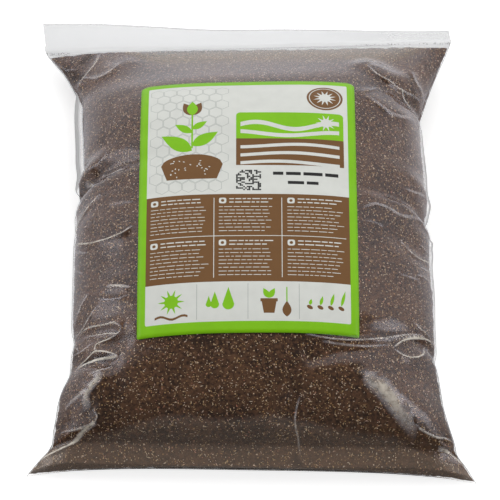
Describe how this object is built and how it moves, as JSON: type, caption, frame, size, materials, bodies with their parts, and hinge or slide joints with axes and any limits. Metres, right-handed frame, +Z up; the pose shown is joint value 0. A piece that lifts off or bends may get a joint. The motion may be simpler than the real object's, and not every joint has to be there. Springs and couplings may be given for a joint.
{
  "type": "bag of compost",
  "caption": "Clear film bag filled with compost, lying on its back, with flat welds, a header strip and a printed label on its upper side.",
  "frame": {"origin": "on the floor under the middle of the bag's box", "axes": "+Z up, +X to the bag's right as the label is read, +Y from the foot weld towards the header"},
  "size_m": [0.3, 0.3774, 0.0928],
  "materials": {
    "film": "clear glossy film",
    "compost": "damp crumbly growing mix with light fibres",
    "label": "satin printed label"
  },
  "bodies": {
    "root": {"film_bag": "film", "compost": "compost", "label": "label"}
  },
  "joints": []
}
